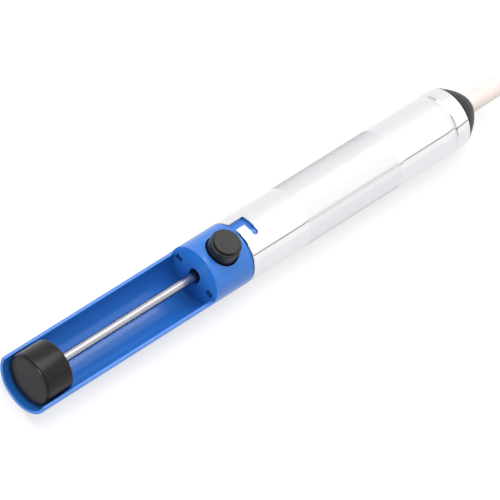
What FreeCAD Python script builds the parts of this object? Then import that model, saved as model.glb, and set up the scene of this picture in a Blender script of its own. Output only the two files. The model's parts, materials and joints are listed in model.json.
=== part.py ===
"""Desoldering pump: a spring-loaded hand vacuum pump for molten solder.

The pump lies on its side with the release button up.  +X runs along the axis to the nozzle,
+Z is up, and the origin is under the middle of the length, on the surface the pump lies on.
Stations along the axis are worked out from the barrel's rear edge, x = 0, with the axis at
y = z = 0; place() moves every finished solid into the part's own frame.
All sizes are in millimetres and angles in degrees.
"""

import FreeCAD, Part
import math
import os

# ---- barrel -------------------------------------------------------------------------------
BARREL_R = 10.0            # outside radius of the aluminium tube
BARREL_WALL = 1.0
BARREL_LENGTH = 91.6
BARREL_ROUND = 0.3         # rounding of the front edge, rolled in on the nose cap
REAR_CHAMFER = 0.2
GROOVE_FROM_FRONT = 5.8    # rolled groove that holds the nose cap
GROOVE_WIDTH = 1.6
GROOVE_DEPTH = 0.3
SLOT_REACH = 5.8           # how far the bayonet slots run in from the rear edge
SLOT_ENTRY_WIDTH = 3.1
SLOT_TURN_WIDTH = 2.2
SLOT_TURN = 28.8           # angle from the locked lug to the entry leg
LUG_ANGLE = -3.2           # locked lug, from straight up towards +Y
BAYONETS = 2

# ---- handle: collar, spigot and half-round guard ------------------------------------------
JOINT_GAP = 0.35           # between collar and barrel
COLLAR_LENGTH = 15.3
COLLAR_CHAMFER = 0.2
REAR_WALL = 2.0
SPIGOT_LENGTH = 13.0
SPIGOT_WALL = 1.0
GUARD_LENGTH = 68.5
GUARD_WALL = 1.1
GUARD_EDGE = 0.3           # rounding of the guard's edges
GUARD_RISE = 0.55          # the guard's rim above the axis
ROD_HOLE_R = 2.2
ROD_HOLE_RISE = 1.2        # the hole is drawn out upwards by this much
WINDOW_FROM_SIDE = 2.9     # middle of each snap window in the collar's rear wall
WINDOW_Z = 0.4
WINDOW_WIDTH = 2.4
WINDOW_HEIGHT = 2.1
LUG_SINK = 0.5             # lug top below the barrel's outside

# ---- release button and latch -------------------------------------------------------------
BUTTON_FORWARD = 0.2       # button's axis in front of the collar's middle
BUTTON_SKIRT_R = 4.85
BUTTON_CAP_R = 4.15
BUTTON_GAP = 0.5           # between the skirt and the collar
BUTTON_TRAVEL = 1.8
BUTTON_TOP = 4.25          # top of the cap above the collar's outside
BUTTON_CAP_HEIGHT = 0.95
BUTTON_SKIRT_DEPTH = 3.0   # how far the skirt reaches in below the collar's outside
BUTTON_EDGE = 0.45
BUTTON_RECESS = 0.2        # depth of the neck line between skirt and cap
PLATE_THICK = 1.2
PLATE_WIDTH = 8.0
PLATE_LIP = 1.65           # steel left under the rod
TONGUE_WIDTH = 5.0
TONGUE_HEIGHT = 2.9
LATCH_WIRE = 0.3
LATCH_SPRING_R = 1.4       # mean radius
LATCH_SPRING_TURNS = 4

# ---- latch carrier, bush and bumper -------------------------------------------------------
CARRIER_TUBE_R = 3.6
CARRIER_RIM = 1.3
CARRIER_FLOOR = 0.7        # plastic left under the latch spring
PEG_LENGTH = 0.4
BUSH_R = 2.8
BUSH_LENGTH = 6.0
BUSH_FLANGE = 0.7
BUMPER_THICK = 2.0
BUMPER_PROUD = 0.25        # past the spigot's end

# ---- plunger ------------------------------------------------------------------------------
ROD_R = 1.5
KNOB_CLEAR = 6.2           # between knob and collar when the pump is cocked
NOTCH_WIDTH = 2.4
NOTCH_DEPTH = 0.7
KNOB_LENGTH = 10.3
KNOB_INSET = 2.0           # knob's rear face inside the guard's end
KNOB_GAP = 0.5             # between knob and guard
KNOB_EDGE = 0.9
KNOB_GRIP = 5.5            # rod held in the knob
PISTON_LENGTH = 11.0
PISTON_GAP = 0.3
PISTON_SEAT = 3.0          # thickness behind the spring's seat
PISTON_CUP_WALL = 2.4
PISTON_HUB_R = 3.2
PISTON_HUB_LENGTH = 3.0
RING_SECTION = 1.8         # piston O-ring
RING_STATION = 4.6         # from the piston's rear face
CLIP_R = 2.9
CLIP_THICK = 0.5
CLIP_RECESS = 0.3          # from the piston's rear face to the clip
CLIP_GROOVE = 0.3
WASHER_R = 3.1
WASHER_THICK = 0.5
NUT_ACROSS_FLATS = 5.5
NUT_THICK = 2.4
ROD_PROUD = 0.5            # rod past the nut
PIN_R = 0.9
PIN_GRIP = 6.0
PIN_PROUD = 1.0            # cleaning pin past the nozzle when the pump is cocked

# ---- main spring --------------------------------------------------------------------------
SPRING_WIRE = 0.9
SPRING_GAP = 0.5           # between the coils and the piston's cup
SPRING_TURNS = 16
SPRING_SQUEEZE = 0.7       # most that the spring may be shortened by, as a share of its length
SEAT_WASHER_THICK = 0.6
SEAT_WASHER_HOLE_R = 2.4

# ---- nose cap and nozzle ------------------------------------------------------------------
CAP_SHOULDER = 1.3         # rounded length between the rim and the cone
CAP_CONE_LENGTH = 6.6
CAP_CROWN = 0.45           # how far the cone bulges from straight
CAP_LIP = 0.55             # plastic left round the nozzle at the cone's end
CAP_SPIGOT_LENGTH = 10.0
CAP_WALL = 2.5
CAP_RING_SECTION = 1.6
CAP_RING_FROM_RIM = 2.4
NOZZLE_R = 3.1
NOZZLE_LENGTH = 16.35      # past the cap
NOZZLE_TAPER = 2.8
NOZZLE_MOUTH_R = 1.9
NOZZLE_BORE_R = 1.25
NOZZLE_FLANGE = 1.5
FUNNEL_R = 2.3
FUNNEL_LENGTH = 4.0

# ---- clearances ---------------------------------------------------------------------------
RUN = 0.05                 # running fit, on the radius
FIT = 0.02                 # parts pushed together
SLIDE = 0.15               # loose sliding parts
TOUCH = 0.05               # between faces that rest on each other across a joint

# ---- stations and radii worked out from the sizes above -----------------------------------
bore_r = BARREL_R - BARREL_WALL
spigot_r = bore_r - RUN
carrier_bore_r = spigot_r - SPIGOT_WALL
carrier_r = carrier_bore_r - RUN
guard_bore_r = BARREL_R - GUARD_WALL

collar_front = -JOINT_GAP
wall_x = collar_front - COLLAR_LENGTH
guard_end = wall_x - GUARD_LENGTH
pocket_x = wall_x + REAR_WALL
button_x = (collar_front + wall_x) / 2 + BUTTON_FORWARD
window_y = BARREL_R - WINDOW_FROM_SIDE
lug_x = SLOT_REACH - SLOT_TURN_WIDTH / 2
lug_r = SLOT_TURN_WIDTH / 2 - SLIDE

carrier_rear = pocket_x + TOUCH
bumper_front = SPIGOT_LENGTH + BUMPER_PROUD
carrier_front = bumper_front - BUMPER_THICK
piston_rear = bumper_front + TOUCH
piston_front = piston_rear + PISTON_LENGTH
spring_rear = piston_rear + PISTON_SEAT
piston_r = bore_r - PISTON_GAP
cup_r = piston_r - PISTON_CUP_WALL
spring_r = cup_r - SPRING_GAP - SPRING_WIRE / 2
ring_x = piston_rear + RING_STATION
clip_x = piston_rear + CLIP_RECESS
washer_x = spring_rear + PISTON_HUB_LENGTH
nut_x = washer_x + WASHER_THICK
rod_front = nut_x + NUT_THICK + ROD_PROUD

knob_rear = guard_end + KNOB_INSET
knob_front = knob_rear + KNOB_LENGTH
knob_r = guard_bore_r - KNOB_GAP
rod_rear = knob_front - KNOB_GRIP

cap_rim_r = BARREL_R - BARREL_ROUND
cone_rear = BARREL_LENGTH + CAP_SHOULDER
cone_front = cone_rear + CAP_CONE_LENGTH
cone_front_r = NOZZLE_R + CAP_LIP
cap_rear = BARREL_LENGTH - CAP_SPIGOT_LENGTH
cap_bore_r = bore_r - CAP_WALL
cap_ring_x = BARREL_LENGTH - CAP_RING_FROM_RIM
groove_x = BARREL_LENGTH - GROOVE_FROM_FRONT
nozzle_seat = BARREL_LENGTH + TOUCH
flange_rear = nozzle_seat - NOZZLE_FLANGE
spring_front = flange_rear - SEAT_WASHER_THICK
spring_length = spring_front - spring_rear - 2 * TOUCH
nozzle_tip_x = cone_front + NOZZLE_LENGTH

stroke = min(wall_x - KNOB_CLEAR - knob_front, SPRING_SQUEEZE * spring_length)
notch_x = button_x - stroke
pin_front = nozzle_tip_x + PIN_PROUD - stroke

button_top = BARREL_R + BUTTON_TOP
skirt_top = button_top - BUTTON_CAP_HEIGHT
skirt_bottom = BARREL_R - BUTTON_SKIRT_DEPTH
pocket_floor = skirt_bottom - BUTTON_TRAVEL - SLIDE
slot_hole_r = ROD_R + RUN
plate_bottom = -slot_hole_r - PLATE_LIP
latch_floor = CARRIER_FLOOR - carrier_r

length_middle = (guard_end + nozzle_tip_x) / 2

AXIS = FreeCAD.Vector(1, 0, 0)
UP = FreeCAD.Vector(0, 0, 1)
CENTRE = FreeCAD.Vector(0, 0, 0)


# ---- ways of making a solid ---------------------------------------------------------------
def turned(start, *steps):
    """A solid of revolution about the axis.  Points are (x, radius); a step holding two
    points is an arc through the first one to the second."""
    edges, here = [], start
    for step in [*steps, start]:
        if isinstance(step[0], tuple):
            via, there = step
            edges.append(Part.Arc(flat(here), flat(via), flat(there)).toShape())
        else:
            there = step
            edges.append(Part.makeLine(flat(here), flat(there)))
        here = there
    return Part.Face(Part.Wire(edges)).revolve(CENTRE, AXIS, 360)


def flat(point):
    return FreeCAD.Vector(point[0], 0, point[1])


def rod_along(radius, x0, x1):
    """A plain cylinder on the axis."""
    return Part.makeCylinder(radius, x1 - x0, FreeCAD.Vector(x0, 0, 0), AXIS)


def tube_along(outer, inner, x0, x1):
    return rod_along(outer, x0, x1).cut(rod_along(inner, x0, x1))


def drawn_out(radius, x0, x1, rise):
    """A cylinder on the axis, stretched upwards by rise."""
    raised = rod_along(radius, x0, x1)
    raised.translate(UP * rise)
    return rod_along(radius, x0, x1).fuse([raised, block(x0, x1, -radius, radius, 0, rise)])


def post(radius, x, z0, z1):
    """An upright cylinder that crosses the axis at x."""
    return Part.makeCylinder(radius, z1 - z0, FreeCAD.Vector(x, 0, z0), UP)


def block(x0, x1, y0, y1, z0, z1):
    return Part.makeBox(x1 - x0, y1 - y0, z1 - z0, FreeCAD.Vector(x0, y0, z0))


def turn(shape, degrees):
    """The shape turned about the axis, from +Z towards +Y."""
    turned_shape = shape.copy()
    turned_shape.rotate(CENTRE, AXIS, -degrees)
    return turned_shape


def sector(radius, x0, x1, degrees):
    """A wedge of a disc, from straight up towards +Y."""
    corners = [(x0, 0), (x1, 0), (x1, radius), (x0, radius), (x0, 0)]
    face = Part.Face(Part.makePolygon([flat(c) for c in corners]))
    return face.revolve(CENTRE, AXIS, -degrees)


def ring(major, section, x):
    """An O-ring."""
    return Part.makeTorus(major, section / 2, FreeCAD.Vector(x, 0, 0), AXIS)


def edges_near(shape, test):
    return [e for e in shape.Edges if test(e)]


def coil(mean_r, wire, turns, length):
    """A compression spring that stands on z = 0 and is as high as length."""
    rise = length - wire
    path = Part.makeHelix(rise / turns, rise, mean_r)
    slope = math.atan2(rise / turns, 2 * math.pi * mean_r)
    along = FreeCAD.Vector(0, math.cos(slope), math.sin(slope))
    section = Part.Wire(Part.makeCircle(wire / 2, FreeCAD.Vector(mean_r, 0, 0), along))
    spring = Part.Wire(path.Edges).makePipeShell([section], True, True)
    spring.translate(FreeCAD.Vector(0, 0, wire / 2))
    return spring


# ---- barrel group -------------------------------------------------------------------------
def barrel_tube():
    """Drawn tube with the rolled groove and two L-shaped bayonet slots."""
    left, right = groove_x - GROOVE_WIDTH / 2, groove_x + GROOVE_WIDTH / 2
    corner = BARREL_ROUND * (1 - math.sqrt(0.5))
    tube = turned(
        (0, BARREL_R - REAR_CHAMFER),
        (REAR_CHAMFER, BARREL_R),
        (left, BARREL_R),
        ((groove_x, BARREL_R - GROOVE_DEPTH), (right, BARREL_R)),
        (BARREL_LENGTH - BARREL_ROUND, BARREL_R),
        ((BARREL_LENGTH - corner, BARREL_R - corner), (BARREL_LENGTH, BARREL_R - BARREL_ROUND)),
        (BARREL_LENGTH, bore_r),
        (right, bore_r),
        ((groove_x, bore_r - GROOVE_DEPTH), (left, bore_r)),
        (0, bore_r),
    )
    slot = slot_cut()
    for i in range(BAYONETS):
        tube = tube.cut(turn(slot, LUG_ANGLE + i * 360 / BAYONETS))
    return tube


def slot_cut():
    """What one bayonet slot takes away: entry leg, turn leg and round end."""
    outside = BARREL_R + 1
    half = SLOT_ENTRY_WIDTH / 2
    entry = block(-1, SLOT_REACH, -half, half, bore_r / 2, outside)
    turn_leg = sector(outside, SLOT_REACH - SLOT_TURN_WIDTH, SLOT_REACH, SLOT_TURN)
    end = post(SLOT_TURN_WIDTH / 2, lug_x, bore_r / 2, outside)
    core = rod_along(bore_r / 2, -1, SLOT_REACH + 1)
    return turn(entry, SLOT_TURN).fuse([turn_leg, end]).cut(core)


def nose_cap():
    """Domed cone with a spigot: the barrel's bead sits in one groove, the seal in the other."""
    spigot_outer = bore_r - RUN
    bead_half = GROOVE_WIDTH / 2 + SLIDE
    bead_r = bore_r - GROOVE_DEPTH - SLIDE
    seal_half = CAP_RING_SECTION / 2 + RUN
    seal_r = spigot_outer - CAP_RING_SECTION - RUN
    shoulder = (cone_rear, cap_rim_r - 0.45 * CAP_SHOULDER)
    via = (BARREL_LENGTH + 0.54 * CAP_SHOULDER, cap_rim_r - 0.13 * CAP_SHOULDER)
    drop = shoulder[1] - cone_front_r
    slant = math.hypot(CAP_CONE_LENGTH, drop)
    crown = ((cone_rear + cone_front) / 2 + CAP_CROWN * drop / slant,
             (shoulder[1] + cone_front_r) / 2 + CAP_CROWN * CAP_CONE_LENGTH / slant)
    return turned(
        (cap_rear, cap_bore_r),
        (cap_rear, spigot_outer),
        (groove_x - bead_half, spigot_outer),
        (groove_x - bead_half, bead_r),
        (groove_x + bead_half, bead_r),
        (groove_x + bead_half, spigot_outer),
        (cap_ring_x - seal_half, spigot_outer),
        (cap_ring_x - seal_half, seal_r),
        (cap_ring_x + seal_half, seal_r),
        (cap_ring_x + seal_half, spigot_outer),
        (BARREL_LENGTH, spigot_outer),
        (BARREL_LENGTH, cap_rim_r),
        (via, shoulder),
        (crown, (cone_front, cone_front_r)),
        (cone_front, NOZZLE_R + FIT),
        (nozzle_seat, NOZZLE_R + FIT),
        (nozzle_seat, cap_bore_r),
    )


def nose_seal_ring():
    outer = bore_r - RUN
    return ring(outer - CAP_RING_SECTION / 2, CAP_RING_SECTION, cap_ring_x)


def nozzle_tip():
    """Heat-proof nozzle: flange held in the cap, plain shank, short taper, funnelled bore."""
    return turned(
        (flange_rear, FUNNEL_R),
        (flange_rear, cap_bore_r - RUN),
        (nozzle_seat, cap_bore_r - RUN),
        (nozzle_seat, NOZZLE_R),
        (nozzle_tip_x - NOZZLE_TAPER, NOZZLE_R),
        (nozzle_tip_x, NOZZLE_MOUTH_R),
        (nozzle_tip_x, NOZZLE_BORE_R),
        (flange_rear + FUNNEL_LENGTH, NOZZLE_BORE_R),
    )


def spring_seat_washer():
    return tube_along(cap_bore_r - RUN, SEAT_WASHER_HOLE_R, spring_front, flange_rear)


def main_spring():
    """Pushes the piston back from the nose cap."""
    spring = coil(spring_r, SPRING_WIRE, SPRING_TURNS, spring_length)
    spring.rotate(CENTRE, FreeCAD.Vector(0, 1, 0), 90)
    spring.translate(FreeCAD.Vector(spring_rear + TOUCH, 0, 0))
    return spring


# ---- handle group -------------------------------------------------------------------------
def handle_guard():
    """Collar, spigot with bayonet lugs, and the half-round guard, moulded in one."""
    body = turned(
        (wall_x, 0),
        (wall_x, BARREL_R),
        (collar_front - COLLAR_CHAMFER, BARREL_R),
        (collar_front, BARREL_R - COLLAR_CHAMFER),
        (collar_front, 0),
    )
    body = body.fuse(rod_along(spigot_r, collar_front, SPIGOT_LENGTH))
    guard = tube_along(BARREL_R, guard_bore_r, guard_end, wall_x + REAR_WALL / 2)
    above = block(guard_end - 1, wall_x, -2 * BARREL_R, 2 * BARREL_R, GUARD_RISE, 2 * BARREL_R)
    body = body.fuse(guard.cut(above)).removeSplitter()
    body = body.makeFillet(GUARD_EDGE, edges_near(body, is_guard_edge))
    body = body.cut(rod_along(carrier_bore_r, pocket_x, SPIGOT_LENGTH + 1))
    body = body.cut(drawn_out(ROD_HOLE_R, wall_x - 1, pocket_x + 1, ROD_HOLE_RISE))
    body = body.cut(post(BUTTON_SKIRT_R + BUTTON_GAP, button_x, 0, button_top))
    for side in (-1, 1):
        y0, y1 = side * window_y - WINDOW_WIDTH / 2, side * window_y + WINDOW_WIDTH / 2
        z0, z1 = WINDOW_Z - WINDOW_HEIGHT / 2, WINDOW_Z + WINDOW_HEIGHT / 2
        body = body.cut(block(wall_x - 1, pocket_x + 1, y0, y1, z0, z1))
    lug = post(lug_r, lug_x, carrier_bore_r + SPIGOT_WALL / 2, BARREL_R)
    lug = lug.common(rod_along(BARREL_R - LUG_SINK, 0, SPIGOT_LENGTH))
    for i in range(BAYONETS):
        body = body.fuse(turn(lug, LUG_ANGLE + i * 360 / BAYONETS))
    return body


def is_guard_edge(edge):
    """The long edges of the guard's rim and the edges of its open end."""
    box = edge.BoundBox
    long_rim = box.XLength > GUARD_LENGTH * 0.9 and abs(box.ZMax - GUARD_RISE) < 1e-6
    open_end = box.XMax < guard_end + 1e-6
    return long_rim or open_end


def latch_carrier():
    """Insert behind the spigot: guides the rod, the latch plate and its spring."""
    body = rod_along(carrier_r, carrier_rear, carrier_front)
    core_rear = button_x + BUTTON_SKIRT_R + SLIDE + CARRIER_RIM
    body = body.cut(tube_along(carrier_r - CARRIER_RIM, CARRIER_TUBE_R, core_rear, carrier_front + 1))
    body = body.cut(rod_along(ROD_R + SLIDE, carrier_rear - 1, carrier_front + 1))
    body = body.cut(rod_along(BUSH_R + FIT, carrier_front - BUSH_LENGTH, carrier_front + 1))
    body = body.cut(post(BUTTON_SKIRT_R + SLIDE, button_x, pocket_floor, BARREL_R))
    half_x, half_y = PLATE_THICK / 2 + SLIDE, PLATE_WIDTH / 2 + SLIDE
    slot_floor = plate_bottom - BUTTON_TRAVEL - SLIDE
    body = body.cut(block(button_x - half_x, button_x + half_x, -half_y, half_y, slot_floor, BARREL_R))
    pocket_r = LATCH_SPRING_R + LATCH_WIRE / 2 + 2 * SLIDE
    body = body.cut(post(pocket_r, button_x, latch_floor, plate_bottom))
    peg_y, peg_z = WINDOW_WIDTH / 2 - SLIDE, WINDOW_HEIGHT / 2 - SLIDE
    for side in (-1, 1):
        y = side * window_y
        peg = block(carrier_rear - PEG_LENGTH, carrier_rear + 1, y - peg_y, y + peg_y,
                    WINDOW_Z - peg_z, WINDOW_Z + peg_z)
        body = body.fuse(peg.common(rod_along(carrier_r, carrier_rear - PEG_LENGTH, carrier_rear + 1)))
    return body.removeSplitter()


def guide_bush():
    """Flanged bush that the rod runs in."""
    shank = tube_along(BUSH_R, ROD_R + RUN, carrier_front - BUSH_LENGTH, carrier_front)
    flange = tube_along(CARRIER_TUBE_R, ROD_R + RUN, carrier_front, carrier_front + BUSH_FLANGE)
    return shank.fuse(flange).removeSplitter()


def bumper_washer():
    """Rubber ring that the piston lands on."""
    return tube_along(carrier_r, CARRIER_TUBE_R + SLIDE, carrier_front, bumper_front)


def latch_spring():
    length = plate_bottom - latch_floor - 2 * FIT
    spring = coil(LATCH_SPRING_R, LATCH_WIRE, LATCH_SPRING_TURNS, length)
    spring.translate(FreeCAD.Vector(button_x, 0, latch_floor + FIT))
    return spring


# ---- button group -------------------------------------------------------------------------
def release_button():
    """Skirt, neck line and cap, with a socket for the latch plate's tongue."""
    neck = BUTTON_CAP_R - BUTTON_RECESS
    edge = BUTTON_EDGE
    corner = edge * (1 - math.sqrt(0.5))
    outline = [(0, skirt_bottom), (BUTTON_SKIRT_R, skirt_bottom), (BUTTON_SKIRT_R, skirt_top - edge),
               (BUTTON_SKIRT_R - edge, skirt_top), (neck, skirt_top), (neck, skirt_top + edge / 2),
               (BUTTON_CAP_R, skirt_top + edge / 2), (BUTTON_CAP_R, button_top - edge)]
    points = [FreeCAD.Vector(r, 0, z) for r, z in outline]
    lines = [Part.makeLine(a, b) for a, b in zip(points, points[1:])]
    top_start = FreeCAD.Vector(BUTTON_CAP_R - edge, 0, button_top)
    via = FreeCAD.Vector(BUTTON_CAP_R - corner, 0, button_top - corner)
    lines.append(Part.Arc(points[-1], via, top_start).toShape())
    top_middle = FreeCAD.Vector(0, 0, button_top)
    lines += [Part.makeLine(top_start, top_middle), Part.makeLine(top_middle, points[0])]
    button = Part.Face(Part.Wire(lines)).revolve(CENTRE, UP, 360)
    button.translate(FreeCAD.Vector(button_x, 0, 0))
    half_x, half_y = PLATE_THICK / 2 + FIT, TONGUE_WIDTH / 2 + FIT
    socket = block(button_x - half_x, button_x + half_x, -half_y, half_y,
                   skirt_bottom - 1, skirt_bottom + TONGUE_HEIGHT + FIT)
    return button.cut(socket)


def latch_plate():
    """Steel plate round the rod: its lower lip drops into the rod's notch."""
    half_x, half_y = PLATE_THICK / 2, PLATE_WIDTH / 2
    plate = block(button_x - half_x, button_x + half_x, -half_y, half_y, plate_bottom, skirt_bottom)
    tongue = block(button_x - half_x, button_x + half_x, -TONGUE_WIDTH / 2, TONGUE_WIDTH / 2,
                   skirt_bottom, skirt_bottom + TONGUE_HEIGHT)
    lift = BUTTON_TRAVEL + RUN
    hole = drawn_out(slot_hole_r, button_x - PLATE_THICK, button_x + PLATE_THICK, lift)
    return plate.fuse(tongue).removeSplitter().cut(hole)


# ---- plunger group ------------------------------------------------------------------------
def plunger_rod():
    """Ground steel rod, notched underneath for the latch and grooved for the clip."""
    rod = rod_along(ROD_R, rod_rear, rod_front)
    notch = block(notch_x - NOTCH_WIDTH / 2, notch_x + NOTCH_WIDTH / 2,
                  -2 * ROD_R, 2 * ROD_R, -2 * ROD_R, NOTCH_DEPTH - ROD_R)
    groove = tube_along(2 * ROD_R, ROD_R - CLIP_GROOVE, clip_x - FIT, clip_x + CLIP_THICK + FIT)
    pin_hole = rod_along(PIN_R, rod_front - PIN_GRIP, rod_front + 1)
    return rod.cut(notch).cut(groove).cut(pin_hole)


def plunger_knob():
    """Push knob with rounded edges and a blind hole for the rod."""
    e, s = KNOB_EDGE, KNOB_EDGE * (1 - math.sqrt(0.5))
    knob = turned(
        (knob_rear, 0),
        (knob_rear, knob_r - e),
        ((knob_rear + s, knob_r - s), (knob_rear + e, knob_r)),
        (knob_front - e, knob_r),
        ((knob_front - s, knob_r - s), (knob_front, knob_r - e)),
        (knob_front, 0),
    )
    return knob.cut(rod_along(ROD_R, rod_rear, knob_front + 1))


def piston_body():
    """Piston with an O-ring groove and a cup for the spring."""
    half = RING_SECTION / 2 + RUN
    groove_r = bore_r - RUN - RING_SECTION - RUN
    hub_r = ROD_R + FIT
    recess_x = clip_x + CLIP_THICK + FIT
    return turned(
        (piston_rear, CLIP_R + SLIDE),
        (piston_rear, piston_r),
        (ring_x - half, piston_r),
        (ring_x - half, groove_r),
        (ring_x + half, groove_r),
        (ring_x + half, piston_r),
        (piston_front, piston_r),
        (piston_front, cup_r),
        (spring_rear, cup_r),
        (spring_rear, PISTON_HUB_R),
        (washer_x, PISTON_HUB_R),
        (washer_x, hub_r),
        (recess_x, hub_r),
        (recess_x, CLIP_R + SLIDE),
    )


def piston_o_ring():
    return ring(bore_r - RUN - RING_SECTION / 2, RING_SECTION, ring_x)


def rod_e_clip():
    """Clip in the rod's groove, open at the bottom."""
    inner = ROD_R - CLIP_GROOVE + FIT
    clip = tube_along(CLIP_R, inner, clip_x, clip_x + CLIP_THICK)
    mouth = block(clip_x - 1, clip_x + CLIP_THICK + 1, -inner, inner, -2 * CLIP_R, 0)
    return clip.cut(mouth)


def piston_washer():
    return tube_along(WASHER_R, ROD_R + FIT, washer_x, nut_x)


def piston_nut():
    """Hexagon nut."""
    corner = NUT_ACROSS_FLATS / math.sqrt(3)
    points = [FreeCAD.Vector(nut_x, corner * math.cos(a), corner * math.sin(a))
              for a in (math.radians(60 * i) for i in range(7))]
    nut = Part.Face(Part.makePolygon(points)).extrude(AXIS * NUT_THICK)
    return nut.cut(rod_along(ROD_R + FIT, nut_x - 1, nut_x + NUT_THICK + 1))


def cleaning_pin():
    """Wire in the rod's end that clears the nozzle each time the pump is cocked."""
    return turned(
        (rod_front - PIN_GRIP, 0),
        (rod_front - PIN_GRIP, PIN_R),
        (pin_front - PIN_R, PIN_R),
        ((pin_front - PIN_R * (1 - math.sqrt(0.5)), PIN_R * math.sqrt(0.5)), (pin_front, 0)),
    )


PIECES = [
    barrel_tube, nose_cap, nose_seal_ring, nozzle_tip, spring_seat_washer, main_spring,
    handle_guard, latch_carrier, guide_bush, bumper_washer, latch_spring,
    release_button, latch_plate,
    plunger_rod, plunger_knob, piston_body, piston_o_ring, rod_e_clip, piston_washer,
    piston_nut, cleaning_pin,
]


def place(shape):
    """From the barrel's stations to the part's own frame."""
    shape.translate(FreeCAD.Vector(-length_middle, 0, BARREL_R))
    return shape


def main():
    os.makedirs("parts", exist_ok=True)
    for make in PIECES:
        shape = make()
        if len(shape.Solids) != 1 or not shape.isValid():
            raise ValueError(make.__name__ + " is not one valid solid")
        solid = place(shape.Solids[0])
        solid.exportStep("parts/" + make.__name__ + ".step")
        print(make.__name__, round(solid.Volume, 2))


main()
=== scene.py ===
# %% [markdown]
# # A desoldering pump
# The pump is a bright aluminium tube with a black nose cone and a pale nozzle at one end, and a
# blue moulded handle at the other, cut away to a half-round guard that a black knob slides in.
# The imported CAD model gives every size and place.  This script gives it its finishes, and makes
# again, finer, the pieces whose shape the eye reads closely: the knurled tube, the coil springs,
# the turned and moulded pieces.

# %% Load the frame
import json
import math

import bpy
import numpy as np
from mathutils import Matrix, Vector


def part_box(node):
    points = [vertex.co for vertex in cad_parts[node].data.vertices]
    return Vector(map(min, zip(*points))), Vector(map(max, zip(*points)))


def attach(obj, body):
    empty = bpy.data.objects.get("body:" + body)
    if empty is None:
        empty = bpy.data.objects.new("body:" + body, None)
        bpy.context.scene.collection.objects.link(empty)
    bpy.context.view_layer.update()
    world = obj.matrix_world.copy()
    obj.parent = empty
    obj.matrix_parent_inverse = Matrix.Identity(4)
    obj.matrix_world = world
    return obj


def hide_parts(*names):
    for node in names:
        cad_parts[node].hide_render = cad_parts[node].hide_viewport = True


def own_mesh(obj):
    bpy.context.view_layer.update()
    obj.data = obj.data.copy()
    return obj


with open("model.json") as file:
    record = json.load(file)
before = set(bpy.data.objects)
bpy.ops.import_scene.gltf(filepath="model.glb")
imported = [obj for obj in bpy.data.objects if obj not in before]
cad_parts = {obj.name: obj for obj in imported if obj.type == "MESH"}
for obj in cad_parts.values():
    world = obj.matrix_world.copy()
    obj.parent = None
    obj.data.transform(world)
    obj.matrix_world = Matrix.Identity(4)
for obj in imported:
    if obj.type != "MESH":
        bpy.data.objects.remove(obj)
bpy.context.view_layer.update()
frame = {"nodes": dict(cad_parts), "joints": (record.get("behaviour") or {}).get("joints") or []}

MM = 0.001
print("nodes:", sorted(frame["nodes"]))

# %% [markdown]
# ## Places
# The axis of the pump is a line along X, one tube radius above the surface it lies on.  Every
# place is read from the CAD nodes' boxes, so the pieces still meet if the model is packed again.
# Sizes below that aren't read are in millimetres, and places along the pump are counted from the
# tube's rear edge, as a drawing of it would give them.

# %% Places read from the frame
tube_low, tube_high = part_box("barrel_tube")
TUBE_R = (tube_high.y - tube_low.y) / 2 / MM
TUBE_LENGTH = (tube_high.x - tube_low.x) / MM
AXIS_Z = (tube_low.z + tube_high.z) / 2
TUBE_REAR = tube_low.x
joint_ranges = {j["name"]: j.get("range_deg") or j.get("range_m") for j in frame["joints"]}
SLOT_TURN = joint_ranges["barrel_twist"][1]


def station(x):
    """A place along the frame's X, in metres, as millimetres from the tube's rear edge."""
    return (x - TUBE_REAR) / MM


def reach(node):
    """The first and last station of a CAD node."""
    low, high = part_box(node)
    return station(low.x), station(high.x)


print("tube radius %.2f, length %.2f mm" % (TUBE_R, TUBE_LENGTH))
print("knob from %.2f to %.2f mm" % reach("plunger_knob"))

# %% [markdown]
# ## Camera
# A long lens from well back keeps the pump's sides almost parallel.  The camera is given by the
# point it looks at, its direction round and above that point, and its roll.  It comes first so
# that every later step can be looked at from the same place.

# %% Camera
LENS = 432.0                 # mm, on a 36 mm sensor
DISTANCE = 1.7795
AIM = Vector((TUBE_REAR + 4.22 * MM, -2.78 * MM, AXIS_Z + 2.22 * MM))
CAMERA_BACK = Vector((-0.5342, -0.2047, 0.8199)).normalized()
CAMERA_ROLL = math.radians(32.75)


def add_camera():
    """Camera behind AIM along CAMERA_BACK, level at first and then rolled about its own axis."""
    data = bpy.data.cameras.new("camera")
    data.lens, data.sensor_width = LENS, 36.0
    data.clip_end = 50.0
    camera = bpy.data.objects.new("camera", data)
    level = CAMERA_BACK.to_track_quat("Z", "Y")
    camera.rotation_mode = "QUATERNION"
    camera.rotation_quaternion = level @ Matrix.Rotation(CAMERA_ROLL, 3, "Z").to_quaternion()
    camera.location = AIM + CAMERA_BACK * DISTANCE
    bpy.context.scene.collection.objects.link(camera)
    bpy.context.scene.camera = camera


add_camera()
bpy.context.scene.view_settings.view_transform = "Standard"

# %% [markdown]
# ## Colours and node trees
# Colours are written as the sRGB hex values that a designer picks, and one function turns them
# into the linear values that the shader wants.  One more function adds a node with its settings
# and its links, so each material below reads as a short recipe.


# %% Colour and node helpers
def linear(hex_colour):
    """sRGB hex to linear RGBA: c/12.92 below 0.04045, ((c+0.055)/1.055)^2.4 above it."""
    srgb = np.array([int(hex_colour[i:i + 2], 16) / 255 for i in (1, 3, 5)])
    values = np.where(srgb <= 0.04045, srgb / 12.92, ((srgb + 0.055) / 1.055) ** 2.4)
    return (*map(float, values), 1.0)


def put(tree, kind, links=None, **settings):
    """Adds a node.  settings are its properties, or the values of sockets named with a leading
    'in_'; links go from a socket name or number of the new node to the socket that feeds it."""
    node = tree.nodes.new(kind)
    for key, value in settings.items():
        if key.startswith("in_"):
            node.inputs[key[3:].replace("_", " ")].default_value = value
        else:
            setattr(node, key, value)
    for socket, source in (links or {}).items():
        tree.links.new(source, node.inputs[socket])
    return node


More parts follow.
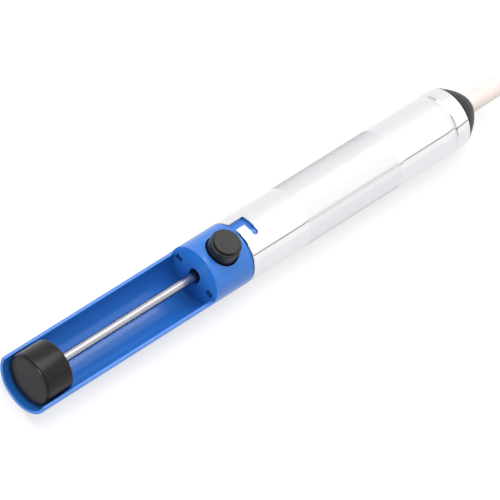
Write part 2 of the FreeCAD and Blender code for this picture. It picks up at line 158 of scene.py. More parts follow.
def new_material(name, **shader):
    """A material with one Principled shader; shader gives its sockets' plain values."""
    material = bpy.data.materials.new(name)
    material.use_nodes = True
    tree = material.node_tree
    principled = tree.nodes["Principled BSDF"]
    for key, value in shader.items():
        principled.inputs[key.replace("_", " ")].default_value = value
    return material, tree, principled


def place_of(tree):
    """Object coordinates: metres in the frame, because every finished piece sits at the origin."""
    return put(tree, "ShaderNodeTexCoord").outputs["Object"]


# %% [markdown]
# ## Floor and light
# Small tools are often shown on a white sheet inside a white tent.  The world is that
# tent: an arch over the pump, whose brightness depends only on the angle round the pump's axis.
# A mirror-bright tube shows nothing but its surroundings, so this one ramp draws the tube's
# shading: white overhead, greyer low down on the far side, and the tent's dark seam on the near
# side, which is the thin dark line along the tube.  The tent is dimmer at the knob's end, so the
# handle's channel stays deep.  A key light overhead and a weaker one at the far side model the
# collar without standing where the tube would mirror them, and a low fill light at the knob's end
# reaches the faces that look back along the pump.


# %% Floor
FLOOR_HALF = 1.5


def add_floor():
    """A square sheet of opal acrylic, centred under the pump and lit from below."""
    mesh = bpy.data.meshes.new("floor")
    h = FLOOR_HALF
    mesh.from_pydata([(-h, -h, 0), (h, -h, 0), (h, h, 0), (-h, h, 0)], [], [(0, 1, 2, 3)])
    # opal acrylic: matt, and bright enough from below to read as white
    material, tree, principled = new_material(
        "acrylic_opal", Base_Color=linear("#8E8E90"), Roughness=0.8,
        Emission_Color=linear("#FFFFFF"), Emission_Strength=0.62)
    mesh.materials.append(material)
    floor = bpy.data.objects.new("floor", mesh)
    bpy.context.scene.collection.objects.link(floor)


add_floor()

# %% World
ARCH = [                     # degrees from overhead towards +Y, and the tent's brightness there
    (-110, 1.22), (-67.0, 1.36), (-65.2, 0.45), (-62.0, 0.45), (-60.2, 1.48),
    (37, 1.45), (50, 1.32), (92, 1.20), (115, 1.08),
]
ARCH_SPAN = 120              # degrees each side of overhead that the ramp covers
KNOB_END = 0.50              # brightness of the tent's knob end, as a share of its nozzle end
DIM_FROM, DIM_TO = -0.25, 0.35  # X of the direction looked in, over which it brightens


def light_world():
    """Brightness = ramp(atan2(y, z)) of the direction looked in, dimmed towards the knob end."""
    world = bpy.data.worlds.new("tent")
    world.use_nodes = True
    tree = world.node_tree
    looked = put(tree, "ShaderNodeTexCoord").outputs["Generated"]
    way = put(tree, "ShaderNodeSeparateXYZ", {0: looked})
    angle = put(tree, "ShaderNodeMath", {0: way.outputs["Y"], 1: way.outputs["Z"]},
                operation="ARCTAN2")
    span = math.radians(ARCH_SPAN)
    share = put(tree, "ShaderNodeMapRange", {0: angle.outputs[0]}, in_From_Min=-span, in_From_Max=span)
    ramp = put(tree, "ShaderNodeValToRGB", {0: share.outputs[0]})
    stops = ramp.color_ramp.elements
    while len(stops) < len(ARCH):
        stops.new(0.5)
    for stop, (degrees, value) in zip(stops, ARCH):
        stop.position = (degrees + ARCH_SPAN) / (2 * ARCH_SPAN)
        stop.color = (value, value, value, 1)
    end = put(tree, "ShaderNodeMapRange", {0: way.outputs["X"]}, interpolation_type="SMOOTHSTEP",
              in_From_Min=DIM_FROM, in_From_Max=DIM_TO, in_To_Min=KNOB_END, in_To_Max=1.0)
    tree.links.new(ramp.outputs["Color"], tree.nodes["Background"].inputs["Color"])
    tree.links.new(end.outputs[0], tree.nodes["Background"].inputs["Strength"])
    bpy.context.scene.world = world


light_world()


# %% Key, side and fill lights
def add_area_light(name, way, distance, size, power):
    """A square panel at distance from the pump in the direction given, facing it."""
    data = bpy.data.lights.new(name, "AREA")
    data.size = size
    data.energy = power
    light = bpy.data.objects.new(name, data)
    back = Vector(way).normalized()
    light.location = back * distance
    light.rotation_mode = "QUATERNION"
    light.rotation_quaternion = back.to_track_quat("Z", "Y")
    bpy.context.scene.collection.objects.link(light)


add_area_light("key", (0.15, 0.19, 0.97), 1.6, 1.3, 22)
add_area_light("side", (0.0, 0.62, 0.78), 1.6, 0.9, 4)
add_area_light("fill", (-0.99, 0.02, 0.12), 1.6, 0.3, 15)

# %% [markdown]
# ## Surfaces from arrays
# Almost every piece of the pump was turned on a lathe or moulded in a turned mould, so it is a
# profile carried round a line.  The profile is a list of corners with a setback for each, which
# rounds it: real edges are never knife sharp, and the narrow highlight they catch is what makes
# a small object look solid.


# %% Profiles, turning and putting a piece into the scene
def soften(corners, steps=6):
    """Rounds a closed outline.  A corner C with setback s becomes the curve
    (1-t)^2 A + 2t(1-t) C + t^2 B, where A and B lie s before and after it; s = 0 stays sharp."""
    corners = np.array(corners, float)
    points, setback = corners[:, :2], corners[:, 2:3]
    before, after = np.roll(points, 1, 0) - points, np.roll(points, -1, 0) - points
    first = points + before / np.linalg.norm(before, axis=1, keepdims=True) * setback
    last = points + after / np.linalg.norm(after, axis=1, keepdims=True) * setback
    t = np.linspace(0, 1, steps)[None, :, None]
    curve = (1 - t) ** 2 * first[:, None] + 2 * t * (1 - t) * points[:, None]
    curve = curve + t ** 2 * last[:, None]
    curve = curve.reshape(-1, 2)
    moved = np.linalg.norm(curve - np.roll(curve, 1, 0), axis=1) > 1e-6
    return curve[moved]


def grid_quads(rows, columns, close_rows):
    """Quads of a grid of points whose columns join into a ring, and whose rows may too."""
    i, j = np.meshgrid(np.arange(rows if close_rows else rows - 1), np.arange(columns), indexing="ij")
    i, j, up, on = i.ravel(), j.ravel(), (i.ravel() + 1) % rows, (j.ravel() + 1) % columns
    return np.stack([i * columns + j, i * columns + on, up * columns + on, up * columns + j], -1)


def lathe(outline, segments):
    """(a, r) goes to (a, r cos t, r sin t) as t runs once round.  An outline that touches the
    axis loses those points and is closed there by a fan from one pole each side."""
    on_axis = outline[:, 1] < 1e-6
    solid = on_axis.any()
    if solid:                # start the outline just after its stretch on the axis
        first = np.flatnonzero(on_axis & ~np.roll(on_axis, -1))[0]
        outline = np.roll(outline, -first - 1, 0)
        on_axis = np.roll(on_axis, -first - 1)
        poles = outline[on_axis][[-1, 0]]
        outline = outline[~on_axis]
    rows = len(outline)
    t = np.linspace(0, 2 * np.pi, segments, endpoint=False)
    a, r = outline[:, :1], outline[:, 1:]
    points = np.stack([a + 0 * t, r * np.cos(t), r * np.sin(t)], -1).reshape(-1, 3)
    faces = [grid_quads(rows, segments, close_rows=not solid)]
    if solid:
        points = np.vstack([points, [[poles[0, 0], 0, 0], [poles[1, 0], 0, 0]]])
        j = np.arange(segments)
        on = (j + 1) % segments
        top = (rows - 1) * segments
        faces.append(np.stack([on, j, np.full(segments, len(points) - 2)], -1))
        faces.append(np.stack([top + j, top + on, np.full(segments, len(points) - 1)], -1))
    return points, faces


def volume(points, faces):
    """The sum of a . (b x c) / 6 over triangles, positive where faces point outwards."""
    triangles = [group[:, [0, k, k + 1]] for group in faces for k in range(1, group.shape[1] - 1)]
    a, b, c = np.moveaxis(points[np.vstack(triangles)], 1, 0)
    return float((a * np.cross(b, c)).sum() / 6)


def lying(points):
    """From millimetres along and round the pump's axis to metres in the frame."""
    return points * MM + [TUBE_REAR, 0, AXIS_Z]


SHARP_DEGREES = 32           # edges that turn by more than this stay crisp


def add_piece(name, points, faces, body, material, stands_for):
    """Makes one object at the origin with its place in its mesh, closed and facing outwards."""
    if volume(points, faces) < 0:
        faces = [group[:, ::-1] for group in faces]
    mesh = bpy.data.meshes.new(name)
    mesh.from_pydata(points.tolist(), [], [face for group in faces for face in group.tolist()])
    mesh.shade_smooth()
    mesh.set_sharp_from_angle(angle=math.radians(SHARP_DEGREES))
    mesh.materials.append(material)
    piece = bpy.data.objects.new(name, mesh)
    bpy.context.scene.collection.objects.link(piece)
    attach(piece, body)
    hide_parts(stands_for)
    triangles = sum(len(group) * (group.shape[1] - 2) for group in faces)
    size = abs(volume(points, faces)) / MM ** 3
    print("%-16s %6d triangles, %8.1f cubic mm" % (name, triangles, size))
    return piece


# %% [markdown]
# ## The tube
# The barrel is a drawn aluminium tube, polished bright, with a diamond knurl rolled into its
# middle, a groove rolled in near the front to hold the nose cap, and two L-shaped slots cut
# into its rear edge that the handle's lugs lock in.  A bump map would show the knurl but not
# break up the tube's reflections, so the knurl is real.  The tube is two shells, outer and
# inner, on one grid of rows along it and columns round it.  Columns gather along the slots'
# edges near the rear and spread out evenly before the knurl; cells inside a slot are left out,
# and walls join the shells wherever a kept cell meets a missing one.

# %% Sizes of the tube
WALL = 1.0
REAR_CHAMFER = 0.2
FRONT_ROUND = 0.3
GROOVE_MIDDLE, GROOVE_WIDTH, GROOVE_DEPTH = TUBE_LENGTH - 5.8, 1.6, 0.3
SLOT_REACH, SLOT_ENTRY_WIDTH, SLOT_LEG_WIDTH = 5.8, 3.1, 2.2
LUG_ANGLE = math.radians(-3.2)
KNURL_REAR, KNURL_FRONT = 22.65, 62.25
KNURL_ROUND = 72             # diamonds round the tube: 0.87 mm each
KNURL_SAMPLES = 4            # grid points to a diamond
KNURL_DEPTH = 0.1
KNURL_STEEPNESS = 1.4        # above 1, it leaves the diamonds with flat tops
KNURL_FADE = 0.5             # length over which the rolled pattern dies out
COLUMNS = KNURL_ROUND * KNURL_SAMPLES
KNURL_STEP = 2 * math.pi * TUBE_R / COLUMNS
SHARED_END = 8.0             # both shells have the same rows up to here
EVEN_OVER = KNURL_REAR - 9.0  # length over which the columns then spread out evenly
BORE_ROWS = [15, 40, 70]     # stations enough for the plain bore
LEG_CROWDING = 0.85          # columns over a turn leg, as a share of even spacing


def smooth_step(t):
    t = np.clip(t, 0, 1)
    return t * t * (3 - 2 * t)


# %% Rows and columns
def tube_rows():
    """Stations of the outer shell, and how many of them the inner shell shares: evenly to the
    slot's turn leg, cosine-spaced over its round end, then as coarse as each stretch allows."""
    leg_rear = SLOT_REACH - SLOT_LEG_WIDTH
    leg = (leg_rear + SLOT_REACH) / 2 - SLOT_LEG_WIDTH / 2 * np.cos(np.linspace(0, np.pi, 15))
    shared = np.concatenate([[0, REAR_CHAMFER], np.linspace(0.6, leg_rear, 5)[:-1],
                             leg, [6.6, SHARED_END]])
    knurl = np.arange(KNURL_REAR, KNURL_FRONT, KNURL_STEP)
    groove = GROOVE_MIDDLE + GROOVE_WIDTH / 2 * np.linspace(-1, 1, 13)
    turn = np.linspace(0, np.pi / 2, 7)[1:]
    front = TUBE_LENGTH - FRONT_ROUND + FRONT_ROUND * np.sin(turn)
    plain = [np.linspace(9.5, KNURL_REAR, 9)[:-1], np.linspace(KNURL_FRONT, groove[0], 10)[1:-1]]
    outer = np.concatenate([shared, plain[0], knurl, plain[1], groove,
                            [TUBE_LENGTH - FRONT_ROUND], front])
    inner = np.concatenate([shared, BORE_ROWS, groove, [TUBE_LENGTH]])
    return outer, inner, len(shared)


def columns_round(x, radius):
    """Angles from overhead towards +Y for each row and column.  Over half a turn the columns
    run from the slot's round end to the entry leg's two sides and on to the next slot."""
    leg_middle = SLOT_REACH - SLOT_LEG_WIDTH / 2
    bulge = np.sqrt(np.clip((SLOT_LEG_WIDTH / 2) ** 2 - (x - leg_middle) ** 2, 0, None)) / radius
    entry = LUG_ANGLE + math.radians(SLOT_TURN)
    half = np.arcsin(SLOT_ENTRY_WIDTH / 2 / radius)
    knots = np.stack([LUG_ANGLE - bulge, x * 0 + entry - half, x * 0 + entry + half,
                      LUG_ANGLE - bulge + np.pi])
    column = np.arange(COLUMNS // 2)
    share = np.interp(column, [0, LEG_COLUMNS, ENTRY_COLUMNS, COLUMNS // 2], [0, 1, 2, 3])
    k = np.minimum(share.astype(int), 2)
    near_slot = knots[k].T + (share - k) * (knots[k + 1] - knots[k]).T
    even = LUG_ANGLE + 2 * np.pi * column / COLUMNS
    blend = smooth_step((x[:, None] - SHARED_END) / EVEN_OVER)
    half_turn = near_slot + (even - near_slot) * blend
    return np.concatenate([half_turn, half_turn + np.pi], 1)


LEG_COLUMNS = round(math.radians(SLOT_TURN) * LEG_CROWDING / (2 * math.pi) * COLUMNS)
ENTRY_COLUMNS = LEG_COLUMNS + round(SLOT_ENTRY_WIDTH / KNURL_STEP)
outer_x, inner_x, SHARED = tube_rows()
print("tube grid: %d and %d rows by %d columns" % (len(outer_x), len(inner_x), COLUMNS))


# %% Radii of the two shells
def groove_dip(x):
    """Depth of the rolled groove: GROOVE_DEPTH (1 - u^2)^2, with u from -1 to 1 across it."""
    u = (x - GROOVE_MIDDLE) / (GROOVE_WIDTH / 2)
    return GROOVE_DEPTH * np.clip(1 - u ** 2, 0, None) ** 2


def knurl_dip(x, angle):
    """0 on a diamond's flat top to 1 in a furrow.  The furrows are where u + v or u - v is half
    past a whole number, with u and v counting diamonds along and round the tube."""
    u = (x - KNURL_REAR) / (KNURL_STEP * KNURL_SAMPLES)
    v = (angle - LUG_ANGLE) / (2 * np.pi) * KNURL_ROUND
    ridge = np.minimum(np.abs(2 * ((u + v) % 1) - 1), np.abs(2 * ((u - v) % 1) - 1))
    inside = smooth_step((x - KNURL_REAR) / KNURL_FADE) * smooth_step((KNURL_FRONT - x) / KNURL_FADE)
    return (1 - np.minimum(1, KNURL_STEEPNESS * ridge)) * inside


def outer_radius(x):
    """The tube's outline: chamfer, plain, groove, and a quarter round at the front."""
    chamfer = np.clip(REAR_CHAMFER - x, 0, None)
    over = np.clip(x - (TUBE_LENGTH - FRONT_ROUND), 0, FRONT_ROUND)
    return TUBE_R - chamfer - groove_dip(x) - FRONT_ROUND + np.sqrt(FRONT_ROUND ** 2 - over ** 2)


def shell(x, angle, radius):
    return np.stack([x[:, None] + 0 * angle, radius * np.sin(angle), radius * np.cos(angle)], -1)


outer_angle = columns_round(outer_x, TUBE_R)
inner_angle = columns_round(inner_x, TUBE_R - WALL)
dip = knurl_dip(outer_x[:, None], outer_angle)
outer_shell = shell(outer_x, outer_angle, outer_radius(outer_x)[:, None] - KNURL_DEPTH * dip)
inner_shell = shell(inner_x, inner_angle, (TUBE_R - WALL - groove_dip(inner_x))[:, None])
print("knurl furrows are %.2f mm deep, %.2f mm apart" % (KNURL_DEPTH, KNURL_STEP * KNURL_SAMPLES))


# %% Cells, walls and the finished tube mesh
def tube_cells(x):
    """True for each cell of the grid that is metal."""
    middle = (x[1:] + x[:-1]) / 2
    column = np.arange(COLUMNS) % (COLUMNS // 2)
    leg = (middle > SLOT_REACH - SLOT_LEG_WIDTH) & (middle < SLOT_REACH)
    entry = middle < SLOT_REACH
    in_leg = leg[:, None] & (column < ENTRY_COLUMNS)
    in_entry = entry[:, None] & (column >= LEG_COLUMNS) & (column < ENTRY_COLUMNS)
    return ~(in_leg | in_entry)


def cell_faces(cells, start):
    i, j = np.nonzero(cells)
    on = (j + 1) % COLUMNS
    this, ahead = i * COLUMNS, (i + 1) * COLUMNS
    return start + np.stack([this + j, this + on, ahead + on, ahead + j], -1)


def wall_faces(cells, inner_start):
    """Quads from the outer to the inner shell along every edge with metal on one side only."""
    beside = np.roll(cells, 1, 1)
    below = np.vstack([np.zeros((1, COLUMNS), bool), cells[:-1]])
    quads = []
    for pick, metal_first in ((beside & ~cells, True), (cells & ~beside, False)):
        i, j = np.nonzero(pick)
        a, b = i * COLUMNS + j, (i + 1) * COLUMNS + j
        a, b = (b, a) if metal_first else (a, b)
        quads.append(np.stack([a, b, b + inner_start, a + inner_start], -1))
    for pick, metal_first in ((below & ~cells, True), (cells & ~below, False)):
        i, j = np.nonzero(pick)
        a, b = i * COLUMNS + j, i * COLUMNS + (j + 1) % COLUMNS
        a, b = (a, b) if metal_first else (b, a)
        quads.append(np.stack([a, b, b + inner_start, a + inner_start], -1))
    return np.vstack(quads)


def tube_mesh():
    """Both shells' metal cells, the slot walls and the ring across the front, with the points
    that lie inside the slots dropped."""
    points = np.vstack([outer_shell.reshape(-1, 3), inner_shell.reshape(-1, 3)])
    inner_start = outer_shell.shape[0] * COLUMNS
    outer_cells, inner_cells = tube_cells(outer_x), tube_cells(inner_x)
    j = np.arange(COLUMNS)
    on = (j + 1) % COLUMNS
    a, b = inner_start - COLUMNS + j, inner_start - COLUMNS + on
    c, d = len(points) - COLUMNS + on, len(points) - COLUMNS + j
    quads = np.vstack([
        cell_faces(outer_cells, 0),
        cell_faces(inner_cells, inner_start)[:, ::-1],
        wall_faces(outer_cells[:SHARED], inner_start),
        np.stack([a, b, c, d], -1),
    ])
    used, quads = np.unique(quads, return_inverse=True)
    return points[used], quads.reshape(-1, 4), used


tube_points, tube_quads, kept = tube_mesh()

# %% [markdown]
# ### Polished aluminium
# Aluminium tube is drawn through a die, which leaves faint scratches along it, and then
# buffed and bright-dipped.  It is the whitest of the common metals, with a touch of blue.
# The scratches stretch its reflections a little, and the polish is never even, so the
# roughness drifts slowly.  The knurl's furrows aren't reached by the buff and are duller: the
# mesh carries how deep each point lies as an attribute, and the material reads it.


# %% Polished aluminium
FURROW_DULL = 0.12           # roughness that a furrow's bottom has over the polish


def polished_aluminium():
    """Drawn and buffed aluminium, duller in the furrows."""
    material, tree, principled = new_material("aluminium_drawn_polished", Metallic=1.0)
    place = place_of(tree)
    depth = put(tree, "ShaderNodeAttribute", attribute_name="furrow").outputs["Fac"]
    cloud = put(tree, "ShaderNodeTexNoise", {"Vector": place}, in_Scale=90.0, in_Detail=3.0)
    stretch = put(tree, "ShaderNodeMapping", {"Vector": place}, in_Scale=(40.0, 5000.0, 5000.0))
    scratch = put(tree, "ShaderNodeTexNoise", {"Vector": stretch.outputs[0]},
                  in_Scale=1.0, in_Detail=2.0)
    polish = put(tree, "ShaderNodeMapRange", {0: cloud.outputs["Fac"]},
                 in_To_Min=0.05, in_To_Max=0.12)
    dull = put(tree, "ShaderNodeMath", {0: depth, 2: polish.outputs[0]},
               operation="MULTIPLY_ADD")
    dull.inputs[1].default_value = FURROW_DULL
    colour = put(tree, "ShaderNodeMix", {0: depth}, data_type="RGBA")
    colour.inputs[6].default_value = linear("#D8D8DA")
    colour.inputs[7].default_value = linear("#D0D0D3")
    bump = put(tree, "ShaderNodeBump", {"Height": scratch.outputs["Fac"]},
               in_Strength=0.5, in_Distance=0.0015 * MM)
    tree.links.new(colour.outputs[2], principled.inputs["Base Color"])
    tree.links.new(dull.outputs[0], principled.inputs["Roughness"])
    tree.links.new(bump.outputs[0], principled.inputs["Normal"])
    return material


tube = add_piece("knurled_tube", lying(tube_points), [tube_quads], "barrel", polished_aluminium(),
                 "barrel_tube")
furrow = np.concatenate([dip.ravel(), np.zeros(inner_shell.shape[0] * COLUMNS)])[kept]
tube.data.attributes.new("furrow", "FLOAT", "POINT").data.foreach_set("value", furrow.astype(np.float32))

# %% [markdown]
# ## Moulded plastics
# The handle, the button, the knob, the nose cap and the nozzle are plastic.  What tells one
# plastic from another is its gloss, which copies the steel of the mould: a polished mould gives
# a glossy part and a spark-eroded one gives a fine even grain.  One recipe covers them: a
# colour that drifts a little, as moulded pigment does, a roughness that drifts with it, and a
# bump at the grain's real size.


# %% Moulded plastic
def moulded_plastic(name, colour, deep_colour, roughness, grain_mm, grain_height_mm, **shader):
    """Plastic from a mould whose grain has the spacing and height given."""
    material, tree, principled = new_material(name, **shader)
    place = place_of(tree)
    drift = put(tree, "ShaderNodeTexNoise", {"Vector": place}, in_Scale=60.0, in_Detail=2.0)
    grain = put(tree, "ShaderNodeTexNoise", {"Vector": place},
                in_Scale=1 / (grain_mm * MM), in_Detail=3.0)
    pigment = put(tree, "ShaderNodeMix", {0: drift.outputs["Fac"]}, data_type="RGBA")
    pigment.inputs[6].default_value = linear(deep_colour)
    pigment.inputs[7].default_value = linear(colour)
    gloss = put(tree, "ShaderNodeMapRange", {0: grain.outputs["Fac"]},
                in_To_Min=roughness * 0.8, in_To_Max=roughness * 1.2)
    bump = put(tree, "ShaderNodeBump", {"Height": grain.outputs["Fac"]},
               in_Distance=grain_height_mm * MM)
    tree.links.new(pigment.outputs[2], principled.inputs["Base Color"])
    tree.links.new(gloss.outputs[0], principled.inputs["Roughness"])
    tree.links.new(bump.outputs[0], principled.inputs["Normal"])
    return material


# The IOR values given are lower than these plastics' own, about 1.5.  They are set so that
# the parts mirror as little as real ones do, and aren't properties of the plastic.
BLUE_ABS = moulded_plastic(  # injection-moulded ABS
    "abs_blue_glossy", "#2869BA", "#245EA7", 0.22, 0.6, 0.003, IOR=1.42,
    Subsurface_Weight=0.03, Subsurface_Radius=(0.2, 0.4, 1.0), Subsurface_Scale=0.5 * MM)
BLACK_ABS = moulded_plastic("abs_black_satin", "#131314", "#0F0F10", 0.26, 0.25, 0.002, IOR=1.28)
BLACK_NYLON = moulded_plastic(
    "nylon_black_semi_gloss", "#0B0B0C", "#09090A", 0.45, 0.3, 0.004, IOR=1.3)
BLACK_BUTTON = moulded_plastic(
    "abs_black_fine_matt", "#121214", "#0E0E10", 0.4, 0.2, 0.004, IOR=1.36)
PTFE = moulded_plastic(      # turned PTFE, which lets a little light into its surface
    "ptfe_off_white", "#CFC2BE", "#C9BCB7", 0.42, 0.5, 0.003,
    Subsurface_Weight=0.25, Subsurface_Radius=(1.0, 0.7, 0.6), Subsurface_Scale=1.5 * MM)
NATURAL_ACETAL = moulded_plastic("acetal_natural", "#E4E1D6", "#DAD6C9", 0.35, 0.4, 0.003)
NITRILE = moulded_plastic("nitrile_rubber_black", "#1B1B1C", "#161617", 0.6, 0.15, 0.006)


# %% Finishes on the CAD pieces whose shape is already right
def dress(node, material):
    """Gives a CAD node its finish."""
    slots = frame["nodes"][node].data.materials
    slots.clear()
    slots.append(material)


for node, material in (
        ("handle_guard", BLUE_ABS), ("latch_carrier", BLACK_NYLON), ("piston_body", NATURAL_ACETAL),
        ("bumper_washer", NITRILE), ("piston_o_ring", NITRILE), ("nose_seal_ring", NITRILE)):
    dress(node, material)

# %% [markdown]
# ## Nose cap and nozzle
# The nose cap is a black moulding whose spigot is held in the tube by the rolled groove.  The
# nozzle is a turned PTFE tube that molten solder doesn't stick to: white, a little waxy, and
# faintly see-through at its thin end.

# %% Nose cap
RUN, FIT, TOUCH = 0.05, 0.02, 0.05  # clearances: running, pushed together, resting
SPIGOT_R, CAP_BORE_R = TUBE_R - WALL - RUN, 6.5
CAP_CROWN = 0.45             # how far the cone bulges from straight
CROWN_SETBACK = 4.1          # how much of the cone each side of its crown is rounded
CAP_SHOULDER, SHOULDER_DROP = 1.3, 0.585
BEND_FROM_RIM, BEND_R = 0.8, 9.62   # where the shoulder turns over most
CAP_LIP = 0.55               # plastic left round the nozzle
BEAD_HALF, BEAD_R = 0.95, 8.55      # groove that the tube's rolled bead sits in
SEAL_FLOOR_R = 7.3           # floor of the seal ring's groove
cap_rear, cap_front = reach("nose_cap")
nozzle_rear, nozzle_front = reach("nozzle_tip")
NOZZLE_R = 3.1
seat = TUBE_LENGTH + TOUCH
seal_rear, seal_front = reach("nose_seal_ring")
shoulder_end = np.array([TUBE_LENGTH + CAP_SHOULDER, TUBE_R - FRONT_ROUND - SHOULDER_DROP])
cone_end = np.array([cap_front, NOZZLE_R + CAP_LIP])
slope = cone_end - shoulder_end
outwards = np.array([-slope[1], slope[0]])
crown = (shoulder_end + cone_end) / 2 + 2 * CAP_CROWN * outwards / np.hypot(*slope)
cap_outline = [
    (cap_rear, CAP_BORE_R, 0.2), (cap_rear, SPIGOT_R, 0.3),
    (GROOVE_MIDDLE - BEAD_HALF, SPIGOT_R, 0.1), (GROOVE_MIDDLE - BEAD_HALF, BEAD_R, 0.1),
    (GROOVE_MIDDLE + BEAD_HALF, BEAD_R, 0.1), (GROOVE_MIDDLE + BEAD_HALF, SPIGOT_R, 0.1),
    (seal_rear - RUN, SPIGOT_R, 0.1), (seal_rear - RUN, SEAL_FLOOR_R, 0.1),
    (seal_front + RUN, SEAL_FLOOR_R, 0.1), (seal_front + RUN, SPIGOT_R, 0.1),
    (TUBE_LENGTH, SPIGOT_R, 0), (TUBE_LENGTH, TUBE_R - FRONT_ROUND, 0.05),
    (TUBE_LENGTH + BEND_FROM_RIM, BEND_R, 0.5), (*shoulder_end, 0.1),
    (*crown, CROWN_SETBACK), (*cone_end, 0.15), (cap_front, NOZZLE_R + FIT, 0.08),
    (seat, NOZZLE_R + FIT, 0), (seat, CAP_BORE_R, 0),
]
points, faces = lathe(soften(cap_outline, 14), 144)
add_piece("nose_cone", lying(points), faces, "barrel", BLACK_NYLON, "nose_cap")

# %% Nozzle
BORE_R, FUNNEL_R, FUNNEL_LENGTH = 1.25, 2.3, 4.0
MOUTH_R, TAPER = 1.9, 2.8
nozzle_outline = [
    (nozzle_rear, FUNNEL_R, 0.1), (nozzle_rear, CAP_BORE_R - RUN, 0.15), (seat, CAP_BORE_R - RUN, 0.1),
    (seat, NOZZLE_R, 0), (nozzle_front - TAPER, NOZZLE_R, 0.5), (nozzle_front, MOUTH_R, 0.2),
    (nozzle_front, BORE_R, 0.1), (nozzle_rear + FUNNEL_LENGTH, BORE_R, 0.4),
]
points, faces = lathe(soften(nozzle_outline), 96)
add_piece("solder_nozzle", lying(points), faces, "barrel", PTFE, "nozzle_tip")

# %% [markdown]
# ## Knob and button
# Both are black mouldings with a fine grain.  The knob's end is faintly crowned for the thumb
# and the button's is faintly dished for the fingertip, which turns their flat reflections into
# soft gradients.

# %% Knob
ROD_R = 1.5
KNOB_EDGE, KNOB_CROWN = 1.0, 0.12
CROWN_BEND = 0.55            # where the crown bends most, as a share of the knob's radius
knob_rear, knob_front = reach("plunger_knob")
rod_rear = reach("plunger_rod")[0]
knob_low, knob_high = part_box("plunger_knob")
knob_r = (knob_high.y - knob_low.y) / 2 / MM
knob_outline = [
    (rod_rear, 0, 0), (knob_rear, 0, 0), (knob_rear + KNOB_CROWN / 3, knob_r * CROWN_BEND, 1.5),
    (knob_rear + KNOB_CROWN, knob_r, KNOB_EDGE), (knob_front, knob_r, KNOB_EDGE * 0.8),
    (knob_front, ROD_R, 0.1), (rod_rear, ROD_R, 0),
]
points, faces = lathe(soften(knob_outline, 8), 160)
add_piece("push_knob", lying(points), faces, "plunger", BLACK_ABS, "plunger_knob")

# %% Button
button_low, button_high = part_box("release_button")
button_x = station((button_low.x + button_high.x) / 2)
skirt_r = (button_high.x - button_low.x) / 2 / MM
button_bottom = (button_low.z - AXIS_Z) / MM
button_top = (button_high.z - AXIS_Z) / MM
CAP_R, CAP_HEIGHT, NECK_R, DISH = 4.15, 0.95, 3.95, 0.1
TONGUE_ROOM_R, TONGUE_ROOM = 2.65, 2.95
NECK_HEIGHT, CAP_UNDERSIDE = 0.18, 0.24  # above the shoulder
DISH_BEND = 0.6              # where the dish bends most, as a share of the cap's radius
shoulder = button_top - CAP_HEIGHT
button_outline = [
    (button_bottom + TONGUE_ROOM, 0, 0), (button_bottom + TONGUE_ROOM, TONGUE_ROOM_R, 0.1),
    (button_bottom, TONGUE_ROOM_R, 0.1), (button_bottom, skirt_r, 0.2), (shoulder, skirt_r, 0.45),
    (shoulder, NECK_R, 0.06), (shoulder + NECK_HEIGHT, NECK_R, 0.04),
    (shoulder + CAP_UNDERSIDE, CAP_R, 0.06),
    (button_top, CAP_R, 0.4), (button_top - DISH / 3, CAP_R * DISH_BEND, 0.8), (button_top - DISH, 0, 0),
]
points, faces = lathe(soften(button_outline, 8), 128)
points = points[:, [1, 2, 0]] + [button_x, 0, 0]
add_piece("press_button", lying(points), faces, "button", BLACK_BUTTON, "release_button")

# %% [markdown]
# ## Metals inside and through the handle
# The rod is centreless-ground steel, which leaves hair-fine rings round it; the springs are
# drawn music wire; the washers, nut, clip and latch plate are pressed steel with a thin zinc
# plate; the bush is brass.  One recipe takes the base colour, the polish and the direction of
# the machining marks.


# %% Worked metal
def worked_metal(name, colour, roughness, marks_mm, mark_height_mm, along=(1, 1, 1)):
    """Metal with machining marks.  along says how many marks per spacing run in X, Y and Z."""
    material, tree, principled = new_material(name, Base_Color=linear(colour), Metallic=1.0)
    place = place_of(tree)
    scale = tuple(a / (marks_mm * MM) for a in along)
    spread = put(tree, "ShaderNodeMapping", {"Vector": place}, in_Scale=scale)
    marks = put(tree, "ShaderNodeTexNoise", {"Vector": spread.outputs[0]},
                in_Scale=1.0, in_Detail=3.0)
    rough = put(tree, "ShaderNodeMapRange", {0: marks.outputs["Fac"]},
                in_To_Min=roughness * 0.6, in_To_Max=roughness * 1.4)
    bump = put(tree, "ShaderNodeBump", {"Height": marks.outputs["Fac"]},
               in_Distance=mark_height_mm * MM)
    tree.links.new(rough.outputs[0], principled.inputs["Roughness"])
    tree.links.new(bump.outputs[0], principled.inputs["Normal"])
    return material


GROUND_STEEL = worked_metal("steel_ground_bright", "#9C9BA1", 0.26, 0.12, 0.0006, (1, 0.05, 0.05))
SPRING_WIRE = worked_metal("steel_music_wire", "#8F9196", 0.28, 0.3, 0.002)
ZINC_PLATE = worked_metal("steel_zinc_plated", "#BFC3C9", 0.32, 0.4, 0.002)
TURNED_BRASS = worked_metal("brass_turned", "#C9A25A", 0.22, 0.15, 0.001, (1, 0.05, 0.05))

for node, material in (
        ("plunger_rod", GROUND_STEEL), ("cleaning_pin", GROUND_STEEL), ("guide_bush", TURNED_BRASS),
        ("latch_plate", ZINC_PLATE), ("spring_seat_washer", ZINC_PLATE),
        ("rod_e_clip", SPRING_WIRE), ("piston_washer", ZINC_PLATE), ("piston_nut", ZINC_PLATE)):
    dress(node, material)

# %% [markdown]
# ## Springs
# A compression spring is one wire swept along a helix whose pitch closes up at both ends, so
# that it stands square on its seat.


# %% Coils
CLOSED_TURNS, OPENING = 0.75, 0.5   # turns that lie closed at each end, and over which they open


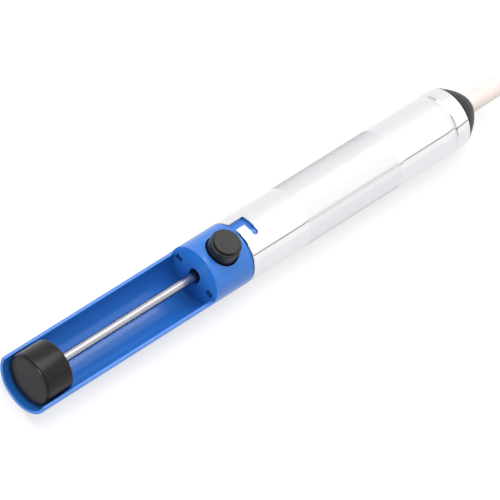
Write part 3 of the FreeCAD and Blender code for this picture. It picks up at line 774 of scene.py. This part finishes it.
def coil(mean_r, wire, turns, length, around=14, steps_per_turn=40):
    """A wire of radius w swept along (R cos a, R sin a, z(a)).  z rises by one wire a turn over
    the end turns and by the free pitch between, and its total is the length less one wire.
    Round the wire the section is w cos b outwards and w sin b across the path."""
    count = int(turns * steps_per_turn) + 1
    turn = np.linspace(0, turns, count)
    free = smooth_step((turn - CLOSED_TURNS) / OPENING)
    free = free * smooth_step((turns - CLOSED_TURNS - turn) / OPENING)
    step = turn[1] - turn[0]
    spare = np.concatenate([[0], np.cumsum((free[1:] + free[:-1]) / 2 * step)])
    height = wire * turn + spare / spare[-1] * (length - wire - wire * turns)
    angle = 2 * np.pi * turn
    outwards = np.stack([np.cos(angle), np.sin(angle), 0 * angle], -1)
    path = outwards * mean_r + np.stack([0 * angle, 0 * angle, height + wire / 2], -1)
    tangent = np.gradient(path, axis=0)
    tangent /= np.linalg.norm(tangent, axis=1, keepdims=True)
    across = np.cross(tangent, outwards)
    b = np.linspace(0, 2 * np.pi, around, endpoint=False)[None, :, None]
    section = np.cos(b) * outwards[:, None] + np.sin(b) * across[:, None]
    ring = path[:, None] + wire / 2 * section
    points = np.vstack([ring.reshape(-1, 3), path[:1], path[-1:]])
    j = np.arange(around)
    on = (j + 1) % around
    last = (count - 1) * around
    ends = [np.stack([on, j, np.full(around, len(points) - 2)], -1),
            np.stack([last + j, last + on, np.full(around, len(points) - 1)], -1)]
    return points, [grid_quads(count, around, False)] + ends


# %% Main spring
MAIN_R, MAIN_WIRE, MAIN_TURNS = 5.35, 0.9, 16
spring_rear, spring_front = reach("main_spring")
points, faces = coil(MAIN_R, MAIN_WIRE, MAIN_TURNS, spring_front - spring_rear)
points = points[:, [2, 0, 1]] + [spring_rear, 0, 0]
main_coil = add_piece("main_coil", lying(points), faces, "barrel", SPRING_WIRE,
                      "main_spring")
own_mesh(main_coil)

# %% Latch spring
LATCH_R, LATCH_WIRE, LATCH_TURNS = 1.4, 0.3, 5
latch_low, latch_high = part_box("latch_spring")
latch_length = (latch_high.z - latch_low.z) / MM
points, faces = coil(LATCH_R, LATCH_WIRE, LATCH_TURNS, latch_length, 10, 32)
points = points + [button_x, 0, (latch_low.z - AXIS_Z) / MM]
latch_coil = add_piece("latch_coil", lying(points), faces, "handle", SPRING_WIRE,
                       "latch_spring")
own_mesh(latch_coil)
